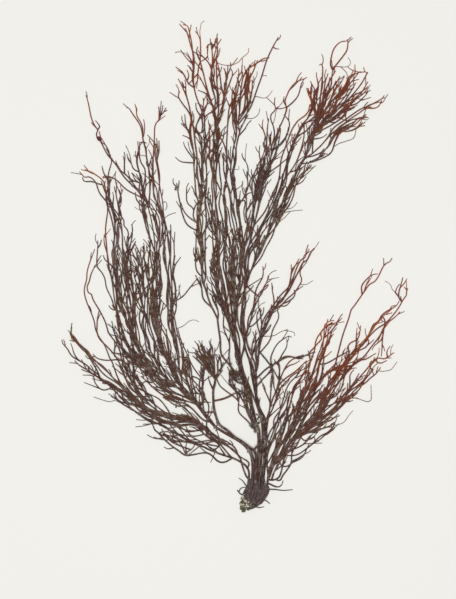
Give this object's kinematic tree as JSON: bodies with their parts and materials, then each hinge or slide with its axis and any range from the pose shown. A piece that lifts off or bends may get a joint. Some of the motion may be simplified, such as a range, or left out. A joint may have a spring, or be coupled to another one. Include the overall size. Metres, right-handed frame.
{
  "type": "dried seaweed tuft",
  "caption": "Flat, pressed tuft of wiry branching seaweed that fans out from a small ribbed holdfast.",
  "frame": {"origin": "middle of the holdfast's flat underside, on the surface that the tuft lies on", "axes": "+Y from the holdfast to the tips, +X to the right of the tuft, +Z away from the surface it lies on"},
  "size_m": [0.0923, 0.1309, 0.0057],
  "materials": {
    "holdfast": "rough, dry and fibrous",
    "encrusting_grit": "rough shell and sand crust",
    "frond_right": "dry, faintly glossy",
    "frond_left_low": "dry, faintly glossy",
    "frond_left_tall": "dry, faintly glossy",
    "frond_crown_left": "dry, faintly glossy",
    "frond_crown_middle": "dry, faintly glossy",
    "frond_crown_right": "dry, faintly glossy",
    "frond_centre_low": "dry, faintly glossy",
    "frond_centre_right": "dry, faintly glossy",
    "frond_side_tuft": "dry, faintly glossy"
  },
  "bodies": {
    "root": {"holdfast": "holdfast", "encrusting_grit": "encrusting_grit", "frond_right": "frond_right", "frond_left_low": "frond_left_low", "frond_left_tall": "frond_left_tall", "frond_crown_left": "frond_crown_left", "frond_crown_middle": "frond_crown_middle", "frond_crown_right": "frond_crown_right", "frond_centre_low": "frond_centre_low", "frond_centre_right": "frond_centre_right", "frond_side_tuft": "frond_side_tuft"}
  },
  "joints": []
}
